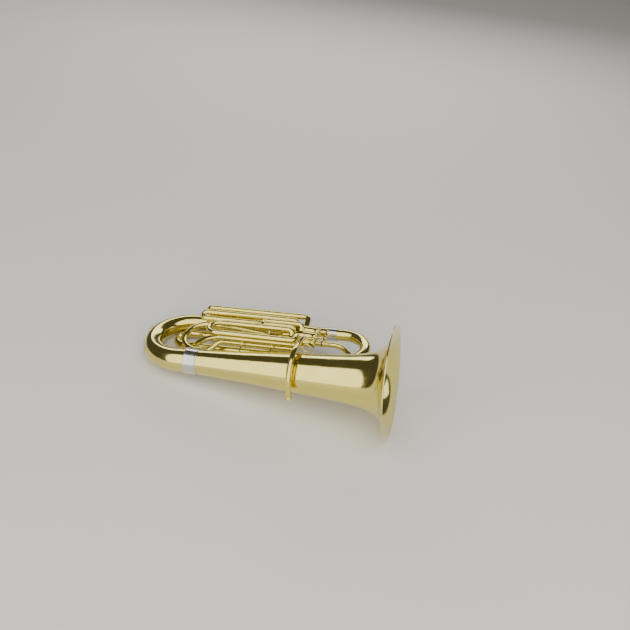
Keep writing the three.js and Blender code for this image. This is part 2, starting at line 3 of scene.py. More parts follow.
import bmesh
import bpy
import numpy as np
from mathutils import Matrix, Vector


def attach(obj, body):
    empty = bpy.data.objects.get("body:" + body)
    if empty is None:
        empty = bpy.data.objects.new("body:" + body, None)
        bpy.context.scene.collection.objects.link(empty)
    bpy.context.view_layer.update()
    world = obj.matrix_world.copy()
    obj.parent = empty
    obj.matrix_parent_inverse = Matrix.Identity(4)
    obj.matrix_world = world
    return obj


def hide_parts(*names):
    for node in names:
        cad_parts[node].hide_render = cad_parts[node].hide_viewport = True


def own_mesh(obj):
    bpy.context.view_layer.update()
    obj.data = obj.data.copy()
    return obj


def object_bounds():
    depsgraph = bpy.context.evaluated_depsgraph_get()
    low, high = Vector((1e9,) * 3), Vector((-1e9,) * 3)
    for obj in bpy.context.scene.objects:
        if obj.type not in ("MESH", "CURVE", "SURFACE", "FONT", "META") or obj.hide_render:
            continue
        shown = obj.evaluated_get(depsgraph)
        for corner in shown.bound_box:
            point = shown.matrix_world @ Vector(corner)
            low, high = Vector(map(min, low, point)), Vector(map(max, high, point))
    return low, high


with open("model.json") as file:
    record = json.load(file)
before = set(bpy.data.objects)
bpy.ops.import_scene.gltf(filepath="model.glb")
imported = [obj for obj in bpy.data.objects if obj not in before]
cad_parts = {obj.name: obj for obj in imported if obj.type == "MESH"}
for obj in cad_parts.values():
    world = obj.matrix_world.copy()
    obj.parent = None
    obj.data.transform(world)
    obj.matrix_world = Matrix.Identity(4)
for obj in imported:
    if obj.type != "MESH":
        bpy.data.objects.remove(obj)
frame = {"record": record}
cad_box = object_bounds()

# ---- The instrument's own frame -----------------------------------------------------------
# The tuba lies tilted on its rim and its bottom bow. Everything below is laid out in the
# maker's frame, in millimetres: x runs up the bell's axis and is 0 at the rim, y runs from the
# bell to the second branch, z comes out of the valve side. Two faces of the part place it.
mounts = {m["name"]: m for m in frame["record"]["mounts"]}
up_the_bell = np.array(mounts["bell_rim"]["axis"], float)
out_of_valves = -np.array(mounts["mouthpiece_receiver"]["axis"], float)
across = np.cross(out_of_valves, up_the_bell)
axes = np.array([up_the_bell, across, out_of_valves])
rim_centre = np.array(mounts["bell_rim"]["pos_m"], float) + 0.182 * across
SHEET = 0.8


def place(points):
    """Instrument millimetres to the model's metres: the rim's centre plus each axis's share."""
    return rim_centre + np.asarray(points, float) / 1000 @ axes


def rounded(corners, radius, step=4):
    """Straight runs between corners; each corner becomes an arc tangent to both of its runs."""
    corners = np.asarray(corners, float)
    parts = [corners[:1]]
    for before, corner, after in zip(corners, corners[1:], corners[2:]):
        u = (corner - before) / np.linalg.norm(corner - before)
        v = (after - corner) / np.linalg.norm(after - corner)
        angle = np.arccos(np.clip(u @ v, -1, 1))
        inward = (v - u) / np.linalg.norm(v - u)
        middle = corner + inward * radius / np.cos(angle / 2)
        arm = corner - u * radius * np.tan(angle / 2) - middle
        turn = np.linspace(0, angle, max(3, int(np.degrees(angle) / step)))[:, None]
        parts.append(middle + arm * np.cos(turn) + u * radius * np.sin(turn))
    return np.vstack(parts + [corners[-1:]])


def flowing(corners, count=120):
    """A Catmull-Rom curve through the corners, cubic in each span, read at even parameters."""
    p = np.asarray(corners, float)
    p = np.vstack([2 * p[0] - p[1], p, 2 * p[-1] - p[-2]])
    t = np.linspace(0, len(p) - 3 - 1e-9, count)
    i = t.astype(int)
    t = (t - i)[:, None]
    a, b, c, d = p[i], p[i + 1], p[i + 2], p[i + 3]
    return 0.5 * (2 * b + (c - a) * t + (2 * a - 5 * b + 4 * c - d) * t ** 2
                  + (3 * b - a - 3 * c + d) * t ** 3)


def along(x0, x1, y=0, z=0):
    """A straight path parallel to the bell's axis."""
    return np.array([[x0, y, z], [x1, y, z]], float)


def spokes(path):
    """Two unit vectors square to the path at each point, carried along it without twist."""
    ahead = np.gradient(path, axis=0)
    ahead /= np.linalg.norm(ahead, axis=1)[:, None]
    guess = np.array([0, 0, 1.0]) if abs(ahead[0, 2]) < 0.9 else np.array([0, 1.0, 0])
    first = []
    for direction in ahead:
        guess = guess - direction * (guess @ direction)
        guess = guess / np.linalg.norm(guess)
        first.append(guess)
    first = np.array(first)
    return first, np.cross(ahead, first)


def spun(path, outline, sides=40):
    """A closed outline of (distance along the path, radius) pairs, spun round the path."""
    path = np.asarray(path, float)
    keep = np.r_[True, np.linalg.norm(np.diff(path, axis=0), axis=1) > 1e-6]
    path = path[keep]
    run = np.r_[0, np.cumsum(np.linalg.norm(np.diff(path, axis=0), axis=1))]
    first, second = spokes(path)
    s, r = np.asarray(outline, float).T
    read = lambda table: np.stack([np.interp(s, run, column) for column in table.T], axis=1)
    ahead = (path[-1] - path[-2]) / np.linalg.norm(path[-1] - path[-2])
    back = (path[1] - path[0]) / np.linalg.norm(path[1] - path[0])
    centre = read(path) + np.maximum(s - run[-1], 0)[:, None] * ahead
    centre += np.minimum(s, 0)[:, None] * back
    angle = np.linspace(0, 2 * np.pi, sides, endpoint=False)
    n, b = read(first), read(second)
    n /= np.linalg.norm(n, axis=1)[:, None]
    b /= np.linalg.norm(b, axis=1)[:, None]
    ring = np.cos(angle)[:, None] * n[:, None] + np.sin(angle)[:, None] * b[:, None]
    return lattice(centre[:, None] + r[:, None, None] * ring, True, s)


def lattice(points, wrap_rows, s=None):
    """Quads over a grid of points whose columns wrap round, and whose rows may too."""
    rows, columns = points.shape[:2]
    i, j = np.meshgrid(np.arange(rows if wrap_rows else rows - 1), np.arange(columns),
                       indexing="ij")
    i2, j2 = (i + 1) % rows, (j + 1) % columns
    quads = np.stack([i * columns + j, i * columns + j2, i2 * columns + j2, i2 * columns + j],
                     axis=-1).reshape(-1, 4)
    flat = points.reshape(-1, 3)
    a, b, c, d = (flat[quads[:, k]] for k in range(4))
    volume = np.einsum("ij,ij->i", a, np.cross(b, c) + np.cross(c, d)).sum()
    s = np.arange(rows, dtype=float) if s is None else s
    u = np.stack([s[i], s[i], s[i2], s[i2]], axis=-1).reshape(-1, 4) / 1000
    v = np.stack([j, j + 1, j + 1, j], axis=-1).reshape(-1, 4) / columns
    if volume < 0:
        quads, u, v = quads[:, ::-1], u[:, ::-1], v[:, ::-1]
    return flat, quads, np.stack([u, v], axis=-1)


def tube(path, outer, wall=SHEET, sides=40):
    """A pipe: outside from end to end, a small round lip, and back along the inside.
    outer is one radius, or the radii at the two ends, between which it tapers evenly."""
    path = np.asarray(path, float)
    long = np.linalg.norm(np.diff(path, axis=0), axis=1).sum()
    r0, r1 = outer if np.ndim(outer) else (outer, outer)
    count = max(2, min(160, len(path) + int(long / 12)))
    s = np.unique(np.r_[np.linspace(0.3, long - 0.3, count),
                        np.clip(np.cumsum(np.linalg.norm(np.diff(path, axis=0), axis=1)),
                                0.3, long - 0.3)])
    s = s[np.r_[True, np.diff(s) > 1e-3]]
    r = r0 + (r1 - r0) * s / long
    lip = min(0.25, wall / 3)
    outside = np.stack([s, r], axis=1)
    inside = np.stack([s, r - wall], axis=1)[::-1]
    start = [[0, r0 - wall + lip], [0, r0 - lip]]
    end = [[long, r1 - lip], [long, r1 - wall + lip]]
    return spun(path, np.vstack([outside, end, inside, start]), sides)


def solid_rod(path, radius, sides=16, bevel=0.3):
    """A round bar with bevelled ends, closed at its two poles."""
    path = np.asarray(path, float)
    long = np.linalg.norm(np.diff(path, axis=0), axis=1).sum()
    s = np.linspace(bevel, long - bevel, max(2, len(path)))
    rows = [[0, 0], [0, radius - bevel], *np.stack([s, np.full(len(s), radius)], 1),
            [long, radius - bevel], [long, 0]]
    return spun(path, rows, sides)


def piece(name, shells, material, body="frame", stands_for=None):
    """One mesh from several surfaces, in the model's frame, that rides on a body."""
    points, quads, uvs, base = [], [], [], 0
    for flat, faces, uv in shells:
        points.append(flat)
        quads.append(faces + base)
        uvs.append(uv.reshape(-1, 2))
        base += len(flat)
    mesh = bpy.data.meshes.new(name)
    mesh.from_pydata(place(np.vstack(points)).tolist(), [], np.vstack(quads).tolist())
    layer = mesh.uv_layers.new(name="spun")
    layer.data.foreach_set("uv", np.vstack(uvs).ravel())
    mesh.materials.append(material)
    mesh.polygons.foreach_set("use_smooth", np.ones(len(mesh.polygons), dtype=bool))
    close_poles(mesh)
    mesh.set_sharp_from_angle(angle=np.radians(38))
    thing = bpy.data.objects.new(name, mesh)
    bpy.context.scene.collection.objects.link(thing)
    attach(thing, body)
    if stands_for:
        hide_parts(*([stands_for] if isinstance(stands_for, str) else stands_for))
    return thing


def close_poles(mesh):
    """Merges the points that a pole's ring puts in one place, and drops flat faces."""
    work = bmesh.new()
    work.from_mesh(mesh)
    bmesh.ops.remove_doubles(work, verts=work.verts, dist=1e-7)
    bmesh.ops.dissolve_degenerate(work, edges=work.edges, dist=1e-8)
    loose = [edge for edge in work.edges if not edge.link_faces]
    bmesh.ops.delete(work, geom=loose, context="EDGES")
    work.to_mesh(mesh)
    work.free()


# ---- Bell ---------------------------------------------------------------------------------
# Sheet of yellow brass, seamed, drawn over a mandrel and spun at the mouth, then buffed and
# sprayed with clear lacquer. The mouth is rolled over a wire, which shows as a round bead.
def linear(code):
    """An sRGB hex value as linear light, opaque."""
    s = np.array([int(code[i:i + 2], 16) for i in (1, 3, 5)]) / 255
    return (*np.where(s <= 0.04045, s / 12.92, ((s + 0.055) / 1.055) ** 2.4), 1.0)


def node(tree, kind, values=None, links=None, **settings):
    """Adds one shader node with its settings, its sockets' constants and its incoming links."""
    made = tree.nodes.new(kind)
    for key, value in settings.items():
        setattr(made, key, value)
    for key, value in (values or {}).items():
        made.inputs[key].default_value = value
    for key, (source, output) in (links or {}).items():
        tree.links.new(source.outputs[output], made.inputs[key])
    return made


def buffed_metal(name, pale, deep, rough, drift_mm, line_mm, line_depth, lacquer):
    """Metal whose tone drifts between two colours, with faint smears and polishing lines.
    Lines run round the piece: noise on its own (along, around) map, stretched around."""
    material = bpy.data.materials.new(name)
    material.use_nodes = True
    tree = material.node_tree
    tree.nodes.clear()
    where = node(tree, "ShaderNodeTexCoord")
    tone = node(tree, "ShaderNodeTexNoise", {"Scale": 1000 / drift_mm, "Detail": 4.0},
                {"Vector": (where, "Object")})
    base = node(tree, "ShaderNodeMix", {6: linear(pale), 7: linear(deep)}, {0: (tone, "Fac")},
                data_type="RGBA")
    smear = node(tree, "ShaderNodeTexNoise",
                 {"Scale": 1000 / 22, "Detail": 5.0, "Roughness": 0.6, "Distortion": 0.8},
                 {"Vector": (where, "Object")})
    matt = node(tree, "ShaderNodeMapRange", {"From Min": 0.35, "From Max": 0.75,
                "To Min": rough * 0.75, "To Max": rough * 1.7}, {"Value": (smear, "Fac")})
    stretch = node(tree, "ShaderNodeMapping", {"Scale": (1000 / line_mm, 3.0, 1.0)},
                   {"Vector": (where, "UV")})
    lines = node(tree, "ShaderNodeTexNoise", {"Scale": 1.0, "Detail": 3.0},
                 {"Vector": (stretch, "Vector")})
    swell = node(tree, "ShaderNodeTexNoise", {"Scale": 1000 / 45, "Detail": 1.0},
                 {"Vector": (where, "Object")})
    hills = node(tree, "ShaderNodeBump", {"Strength": 0.5, "Distance": 0.00045},
                 {"Height": (swell, "Fac")})
    grain = node(tree, "ShaderNodeBump", {"Strength": line_depth, "Distance": 0.00002},
                 {"Height": (lines, "Fac"), "Normal": (hills, "Normal")})
    shader = node(tree, "ShaderNodeBsdfPrincipled",
                  {"Metallic": 1.0, "Coat Weight": lacquer, "Coat Roughness": 0.04,
                   "Coat IOR": 1.5},
                  {"Base Color": (base, 2), "Roughness": (matt, "Result"),
                   "Normal": (grain, "Normal")})
    node(tree, "ShaderNodeOutputMaterial", {}, {"Surface": (shader, "BSDF")})
    return material


brass = buffed_metal("lacquered yellow brass", "#e8dc83", "#dccb66", 0.11, 90, 1.2, 0.25, 0.3)

BELL = [(-646, 40.2), (-560, 44.8), (-487, 49.4), (-390, 57), (-292, 64.6), (-195, 71.6),
        (-117, 80.5), (-72, 90.5), (-40, 106), (-17, 133), (-3, 167), (-1.5, 180.7)]
bell_outside = flowing(BELL, 170)
facing = np.gradient(bell_outside, axis=0)
facing /= np.linalg.norm(facing, axis=1)[:, None]
bell_inside = bell_outside + SHEET * np.stack([facing[:, 1], -facing[:, 0]], axis=1)
bell_inside[0, 0] = bell_outside[0, 0]
bell_outline = np.vstack([bell_outside, bell_inside[::-1]]) + [646, 0]
piece("bell_sheet", [spun(along(-646, 0), bell_outline, 144)], brass, stands_for="bell")

bead = np.linspace(0, 2 * np.pi, 20, endpoint=False)
rim_bead = np.stack([2.3 + 2.2 * np.cos(bead), 181.6 + 2.2 * np.sin(bead)], axis=1)
piece("rolled_rim", [spun(along(0, -10), rim_bead, 144)], brass,
      stands_for="bell_rim_wire")

# ---- Nickel-silver bands ------------------------------------------------------------------
# Ferrules turned from drawn nickel-silver tube, with a rounded bead at each edge. They sleeve
# the soldered joints between the brass branches; a thin plate guards the bow's outside.
nickel = buffed_metal("polished nickel silver", "#dcd9d2", "#c8c5bd", 0.16, 70, 0.5, 0.7, 0.2)


def band(path, radius, wall, edge=2.2, proud=0.7, sides=64):
    """A sleeve whose outside swells to a half-round bead at both edges."""
    long = np.linalg.norm(np.diff(np.asarray(path, float), axis=0), axis=1).sum()
    turn = np.linspace(0, np.pi, 9)
    bead_s = edge * (1 - np.cos(turn)) / 2
    bead_r = radius + proud * np.sin(turn)
    left = np.stack([bead_s, bead_r], axis=1)
    right = np.stack([long - bead_s[::-1], bead_r[::-1]], axis=1)
    middle = [[edge + 1, radius - 0.12], [long - edge - 1, radius - 0.12]]
    inside = [[long, radius - wall], [0, radius - wall]]
    return spun(path, np.vstack([left, middle, right, inside]), sides)


piece("band_bell_to_bow", [band(along(-667, -625), 43.2, 1.6, 3, 0.8, 96)], nickel,
      stands_for="bell_ferrule")

# ---- Bottom bow, second branch, top bow and third branch ----------------------------------
# The widening main tube: brass sheet formed into tapered tubes, bent full of pitch and
# buffed, soldered end to end inside the bands.
BOW_TURN, BOW_R, BOW_END, TOP_JOINT = -704, 120.5, -655, -241


def branch_y(x):
    """The second branch leans out from the bell by 31 mm in a metre."""
    return 2 * BOW_R + (x - BOW_TURN) * 0.031


bow_left = BOW_TURN - BOW_R
bow_path = rounded([[-646.3, 0, 0], [bow_left, 0, 0], [bow_left, 2 * BOW_R, 0],
                    [BOW_TURN, 2 * BOW_R, 0], [BOW_END, branch_y(BOW_END), 0]], BOW_R, 2.5)
piece("great_bow", [tube(bow_path, (39.9, 25.3), sides=80)], brass, stands_for="bottom_bow")


def leaning(x0, x1):
    """A straight stretch of the second branch's centre line."""
    return np.array([[x0, branch_y(x0), 0], [x1, branch_y(x1), 0]], float)


piece("great_branch", [tube(leaning(BOW_END + 0.3, TOP_JOINT - 0.3), (25.3, 20.5), sides=64)],
      brass, stands_for="second_branch")
piece("band_bow_to_branch", [band(leaning(BOW_END - 15, BOW_END + 15), 26.8, 1.0, 2.4, 0.6)],
      nickel, stands_for="second_branch_ferrule")
piece("band_branch_to_top", [band(leaning(TOP_JOINT - 17, TOP_JOINT + 17), 21.9, 1.0, 2.4, 0.6)],
      nickel, stands_for="top_bow_ferrule")

TOP_X, TOP_NEAR, TOP_NEAR_X, TOP_R = -117, (93, -3), -214, 81.5
top_path = rounded([[TOP_JOINT + 0.3, branch_y(TOP_JOINT), 0], [TOP_X, branch_y(TOP_X), 0],
                    [TOP_X, *TOP_NEAR], [TOP_NEAR_X, *TOP_NEAR]], TOP_R, 3)
piece("high_bow", [tube(top_path, (20.4, 17.4), sides=64)], brass, stands_for="top_bow")

INNER_NEAR, INNER_FAR, INNER_X, LEVEL = (118, -20), (200, -22), -712, 30
third_path = rounded([[TOP_NEAR_X - 0.3, *TOP_NEAR], [TOP_NEAR_X - LEVEL, *TOP_NEAR],
                      [INNER_X + LEVEL, *INNER_NEAR], [INNER_X + 0.3, *INNER_NEAR]], 60, 0.7)
piece("third_run", [tube(third_path, (17.3, 13.6), sides=48)], brass,
      stands_for="third_branch")
piece("band_top_to_third", [band(along(TOP_NEAR_X - 12, TOP_NEAR_X + 12, *TOP_NEAR), 18.7, 0.9,
                                 2, 0.5)],
      nickel, stands_for="third_branch_ferrule")

# ---- Inner bows and the return branch -----------------------------------------------------
# Smaller drawn brass tube, bent to close radii, that folds the airway twice more inside the
# great bow. Short brass bands sleeve the joints.
inner_gap = np.hypot(INNER_FAR[0] - INNER_NEAR[0], INNER_FAR[1] - INNER_NEAR[1])
inner_left = INNER_X - inner_gap / 2 - 5
inner_path = rounded([[INNER_X, *INNER_NEAR], [inner_left, *INNER_NEAR],
                      [inner_left, *INNER_FAR], [INNER_X, *INNER_FAR]], inner_gap / 2, 3)
piece("inner_bow", [tube(inner_path, (13.5, 12.3), sides=48),
                    band(along(INNER_X - 9, INNER_X + 9, *INNER_NEAR), 14.6, 0.9, 1.6, 0.4, 48)],
      brass, stands_for="inner_bottom_bow")

SMALL_FAR, SMALL_NEAR, SMALL_X, RETURN_X = (188, 30), (54, 9), -640, -410
return_path = rounded([[INNER_X + 0.3, *INNER_FAR], [INNER_X + LEVEL, *INNER_FAR],
                       [RETURN_X, 206, -36], [RETURN_X, 188, 8], [SMALL_X + LEVEL, *SMALL_FAR],
                       [SMALL_X, *SMALL_FAR]], 22.8, 3)
piece("return_run", [tube(return_path, (12.2, 9.6), sides=40),
                     band(along(SMALL_X - 8, SMALL_X + 8, *SMALL_FAR), 10.6, 0.9, 1.6, 0.4, 40)],
      brass, stands_for="inner_return_branch")

small_gap = np.hypot(SMALL_FAR[0] - SMALL_NEAR[0], SMALL_FAR[1] - SMALL_NEAR[1])
small_path = rounded([[SMALL_X - 0.3, *SMALL_FAR], [-716, *SMALL_FAR], [-716, *SMALL_NEAR],
                      [SMALL_X, *SMALL_NEAR]], small_gap / 2, 3)
piece("small_low_bow", [tube(small_path, 9.5, sides=40),
                        band(along(SMALL_X - 8, SMALL_X + 8, *SMALL_NEAR), 10.6, 0.9, 1.6, 0.4,
                             40)],
      brass, stands_for="small_bottom_bow")

# ---- Main tuning slide and its run --------------------------------------------------------
# Two brass outer tubes braced side by side take the legs of the pull-out tuning crook, drawn
# and bent from thin brass tube. A bow with the water key leads back beside the bell to the
# small top bow.
TUNE_TOP, TUNE_LOW = (87, 49), (96, 26)
link_path = rounded([[SMALL_X + 0.3, *SMALL_NEAR], [-618, *SMALL_NEAR], [-584, *TUNE_LOW],
                     [-553.3, *TUNE_LOW]], 18, 4)
piece("tuning_link_run", [tube(link_path, 9.3)], brass, stands_for="tuning_link")


# Radii of a slide: its outer tube, the ferrules on it, the leg that runs inside; a ferrule's length.
OUTER_R, FERRULE_R, LEG_R, FERRULE = 9.75, 10.3, 8.7, 11


def outer_tube(y, z, x0, x1):
    """The outer tube of a slide, straight along x, with a ferrule at each end."""
    return [tube(along(x0, x1, y, z), OUTER_R, 0.5),
            band(along(x0, x0 + FERRULE, y, z), FERRULE_R, 0.7, 1.6, 0.5, 40),
            band(along(x1 - FERRULE, x1, y, z), FERRULE_R, 0.7, 1.6, 0.5, 40)]


def strut(a, b, r=2.0, foot=4.6):
    """A turned brace post: a round foot at each end, a bead in the middle of the shank."""
    a, b = np.asarray(a, float), np.asarray(b, float)
    long = np.linalg.norm(b - a)
    half = [[0, 0], [0, foot], [0.8, foot], [1.6, r + 0.8], [3.2, r]]
    middle = [[long / 2 - 2.4, r], [long / 2 - 1.4, r + 0.9], [long / 2 + 1.4, r + 0.9],
              [long / 2 + 2.4, r]] if long > 16 else []
    rows = half + middle + [[long - s, radius] for s, radius in half[::-1]]
    return spun(np.array([a, b]), rows, 24)


def between(a, b, x, reach=9.3, r=1.9):
    """The strut that joins two side-by-side tubes at one place along them."""
    a, b = np.array([x, *a], float), np.array([x, *b], float)
    along_gap = (b - a) / np.linalg.norm(b - a)
    return strut(a + along_gap * reach, b - along_gap * reach, r, 3.4)


def crook(a, b, leg_x, crook_x):
    """Two parallel legs joined by a half-round bend."""
    a, b = np.asarray(a, float), np.asarray(b, float)
    path = rounded([[leg_x, *a], [crook_x, *a], [crook_x, *b], [leg_x, *b]],
                   np.linalg.norm(b - a) / 2, 4)
    return tube(path, LEG_R, 0.5)


def collar(y, z, x0, x1):
    """The step band on a crook that stops against its outer tube."""
    return band(along(x0, x1, y, z), 9.9, 1.15, 1.4, 0.35, 40)


piece("tuning_outer_tubes",
      outer_tube(*TUNE_TOP, -577, -336) + outer_tube(*TUNE_LOW, -553, -336)
      + [between(TUNE_TOP, TUNE_LOW, -536), between(TUNE_TOP, TUNE_LOW, -360)],
      brass, stands_for="tuning_slide_sleeves")
piece("tuning_crook", [crook(TUNE_TOP, TUNE_LOW, -440, -322),
                       collar(*TUNE_TOP, -335.4, -325), collar(*TUNE_LOW, -335.4, -325)],
      brass, body="tuning_slide", stands_for="tuning_slide")

BACK_START, BACK_END, BACK_X = (84, -44), (68, -50), -590
tuning_bow_path = np.vstack([
    [[-577.3, *TUNE_TOP]],
    flowing([[-585, *TUNE_TOP], [-634, 87, 33], [-668, 87, 7], [-676, 86, -17], [-656, 85, -36],
             [-620, 84.5, -43], [BACK_X - 8, *BACK_START]], 90),
    [[BACK_X - 0.3, *BACK_START]]])
piece("tuning_bow_run", [tube(tuning_bow_path, 9.3)], brass, stands_for="tuning_bow")
piece("tuning_bow_band", [band(along(-576.5, -571, *TUNE_TOP), 11.2, 0.8, 1.6, 0.5, 40)],
      nickel, stands_for="tuning_bow_ferrule")

EXIT_FAR, SMALL_TOP_X, EXIT_X = (187, 0), -158, -262
top_gap = np.hypot(EXIT_FAR[0] - BACK_END[0], EXIT_FAR[1] - BACK_END[1])
small_top_path = rounded([[BACK_X, *BACK_START], [BACK_X + LEVEL, *BACK_START],
                          [-230, *BACK_END], [SMALL_TOP_X, *BACK_END],
                          [SMALL_TOP_X, *EXIT_FAR], [EXIT_X, *EXIT_FAR]], top_gap / 2 - 0.2, 3)
piece("small_high_bow", [tube(small_top_path, 9.2),
                         band(along(BACK_X - 7, BACK_X + 7, *BACK_START), 10.2, 0.8, 1.6, 0.4,
                              40),
                         band(along(EXIT_X - 8, EXIT_X + 8, *EXIT_FAR), 10.2, 0.8, 1.6, 0.4,
                              40)],
      brass, stands_for="small_top_bow")
piece("exit_run", [tube(rounded([[EXIT_X - 0.3, *EXIT_FAR], [-296, *EXIT_FAR],
                                 [-296, 190.5, 24.6]], 13, 4), 9.2)],
      brass, stands_for="exit_tube")

# ---- Valves -------------------------------------------------------------------------------
# Brass casings closed by a knurled cap at each end. A nickel-plated piston slides in each on a
# long spring; its stem carries a brass button with a dished top over a felt ring.
steel = buffed_metal("bare spring wire", "#c4c6c8", "#aeb1b4", 0.28, 30, 0.4, 0.3, 0.0)

felt = bpy.data.materials.new("dyed wool felt")
felt.use_nodes = True
fibre_tree = felt.node_tree
fibre_tree.nodes.clear()
felt_place = node(fibre_tree, "ShaderNodeTexCoord")
fibres = node(fibre_tree, "ShaderNodeTexNoise", {"Scale": 1000 / 0.9, "Detail": 4.0},
              {"Vector": (felt_place, "Object")})
felt_tone = node(fibre_tree, "ShaderNodeMix", {6: linear("#7d1c22"), 7: linear("#4f1015")},
                 {0: (fibres, "Fac")}, data_type="RGBA")
felt_nap = node(fibre_tree, "ShaderNodeBump", {"Strength": 0.8, "Distance": 0.0002},
                {"Height": (fibres, "Fac")})
felt_shader = node(fibre_tree, "ShaderNodeBsdfPrincipled",
                   {"Roughness": 0.95, "Sheen Weight": 0.4, "IOR": 1.45},
                   {"Base Color": (felt_tone, 2), "Normal": (felt_nap, "Normal")})
node(fibre_tree, "ShaderNodeOutputMaterial", {}, {"Surface": (felt_shader, "BSDF")})

VALVE_Y, VALVE_Z = (125, 160, 195), 40
CASING = (-384, -276.5)
PISTON = (-351, -277.5)
BUTTON_X = -241.5


def knurled(x0, x1, radius, y, z, teeth=60, depth=0.35):
    """A short cylinder wall whose radius rises and falls `teeth` times round it."""
    angle = np.linspace(0, 2 * np.pi, teeth * 4, endpoint=False)
    ridge = radius - depth * (0.5 - 0.5 * np.cos(teeth * angle))
    rows = []
    for x, inset in ((x0, 3.0), (x0, 0.5), (x0 + 0.5, 0), (x1 - 0.5, 0), (x1, 0.5), (x1, 3.0)):
        r = ridge - inset
        rows.append(np.stack([np.full_like(angle, x), y + r * np.cos(angle),
                              z + r * np.sin(angle)], axis=1))
    return lattice(np.array(rows), True)


for number, y in enumerate(VALVE_Y, 1):
    at = (y, VALVE_Z)
    x0, x1 = CASING
    body = f"valve_{number}"
    casing_rows = [[0, 14.3], [0, 15.9], [4, 15.9], [5, 15.3], [42, 15.3], [42.6, 15.75],
                   [46, 15.75], [46.6, 15.3], [x1 - x0 - 7, 15.3], [x1 - x0 - 6, 15.9],
                   [x1 - x0, 15.9], [x1 - x0, 14.3]]
    piece(f"casing_{number}", [spun(along(x0, x1, *at), casing_rows, 64)], brass,
          stands_for=f"valve_{number}_casing")
    low = x0 - 0.3
    piece(f"low_cap_{number}", [
        spun(along(low - 8, low, *at), [[0, 0], [0, 3], [0.6, 4.2], [0.9, 8.6], [2.4, 11.5],
                                        [3, 15.2], [8, 15.2], [8, 0]], 64),
        knurled(low - 5.2, low - 0.4, 16.7, *at)],
        brass, stands_for=f"valve_{number}_bottom_cap")
    high = x1 + 0.3
    piece(f"high_cap_{number}", [
        spun(along(high, high + 8, *at), [[0, 4], [0, 15.4], [5.2, 15.4], [5.6, 13], [6.6, 9.8],
                                          [8, 8.6], [8, 4]], 64),
        knurled(high + 0.6, high + 5, 16.7, *at)],
        brass, stands_for=f"valve_{number}_top_cap")
    p0, p1 = PISTON
    piece(f"piston_{number}", [spun(along(p0, p1, *at), [
        [0, 12.4], [0, 13.4], [0.4, 13.6], [30, 13.6], [73.1, 13.6], [73.5, 13.2], [73.5, 0],
        [70.5, 0], [70.5, 12.4]], 64)],
        nickel, body=body, stands_for=f"valve_{number}_piston")
    stem = p1 + 0.3
    reach = BUTTON_X - stem
    piece(f"finger_button_{number}", [
        spun(along(stem, BUTTON_X, *at), [
            [0, 0], [0, 2.9], [reach - 7, 2.9], [reach - 6, 4], [reach - 5, 9.4],
            [reach - 4.2, 10.6], [reach - 3, 11], [reach - 1.2, 10.9], [reach - 0.2, 10],
            [reach, 9.1], [reach - 0.5, 8.2], [reach - 1.1, 5], [reach - 1.2, 0]], 64)],
        brass, body=body, stands_for=f"valve_{number}_button")
    piece(f"felt_ring_{number}", [
        spun(along(BUTTON_X - 9.2, BUTTON_X - 6.2, *at), [
            [0.4, 3.2], [0, 3.8], [0, 7.2], [0.5, 8], [2.5, 8], [3, 7.2], [3, 3.2]], 48)],
        felt, body=body)
    turns = np.linspace(0, 9, 9 * 20)
    spring_path = np.stack([x0 + 2 + (p1 - 7 - x0) * turns / 9,
                            y + 10.6 * np.cos(2 * np.pi * turns),
                            VALVE_Z + 10.6 * np.sin(2 * np.pi * turns)], axis=1)
    spring = piece(f"valve_spring_{number}", [solid_rod(spring_path, 0.7, 10, 0.15)],
                   steel, stands_for=f"valve_{number}_spring")
    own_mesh(spring)

for number, x in ((1, -330), (2, -352)):
    a, b = VALVE_Y[number - 1] + 14.6, VALVE_Y[number] - 14.6
    knuckle = spun(np.array([[x, a, 32], [x, b, 32]]), [
        [0, 0], [0, 8.7], [b - a, 8.7], [b - a, 0]], 40)
    piece(f"knuckle_{number}", [knuckle], brass, stands_for=f"knuckle_{number}_{number + 1}")

# ---- Valve slides -------------------------------------------------------------------------
# Each valve leads its air through a loop of outer tubes, pull-out crooks and bent port pipes.
# The second crook has a ring for a finger. The third valve has a front and a back loop, joined
# by a post with a knob.
FIRST_LOW, FIRST_TOP = (81, 68), (144, 68)
SECOND_LOW, SECOND_TOP = (163.7, 68.5), (184, 68.5)
FRONT_TOP, FRONT_LOW = (218, 61), (198, 48)
BACK_TOP, BACK_LOW = (244, 63), (244, 38)
PORTS = (-352, -328, -320)


def port_pipe(x0, leg, corners, valve):
    """The bent pipe from the end of an outer tube into a casing, stopped inside its wall."""
    goal = np.array([corners[-1][0], VALVE_Y[valve], VALVE_Z], float)
    last = np.array(corners[-2] if len(corners) > 1 else [corners[-1][0], *leg], float)
    inward = (goal - last) / np.linalg.norm(goal - last)
    end = goal - inward * 15
    path = rounded([[x0 - 2, *leg], *corners[:-1], end], 12, 5)
    return tube(path, 9.45, SHEET)


piece("first_outer_tubes",
      outer_tube(*FIRST_LOW, -570, -354) + outer_tube(*FIRST_TOP, -570, -376)
      + [between(FIRST_LOW, FIRST_TOP, -505), between(FIRST_LOW, FIRST_TOP, -420),
         port_pipe(-354, FIRST_LOW, [[PORTS[1], *FIRST_LOW], [PORTS[1], 113, 69.5],
                                     [PORTS[1], 124, 42]], 0),
         port_pipe(-376, FIRST_TOP, [[PORTS[0], *FIRST_TOP], [PORTS[0], 0, 0]], 0)],
      brass, stands_for="first_slide_sleeves")
piece("first_crook", [crook(FIRST_LOW, FIRST_TOP, -470, -625),
                      collar(*FIRST_LOW, -582, -570.6), collar(*FIRST_TOP, -582, -570.6)],
      brass, body="first_slide", stands_for="first_slide")

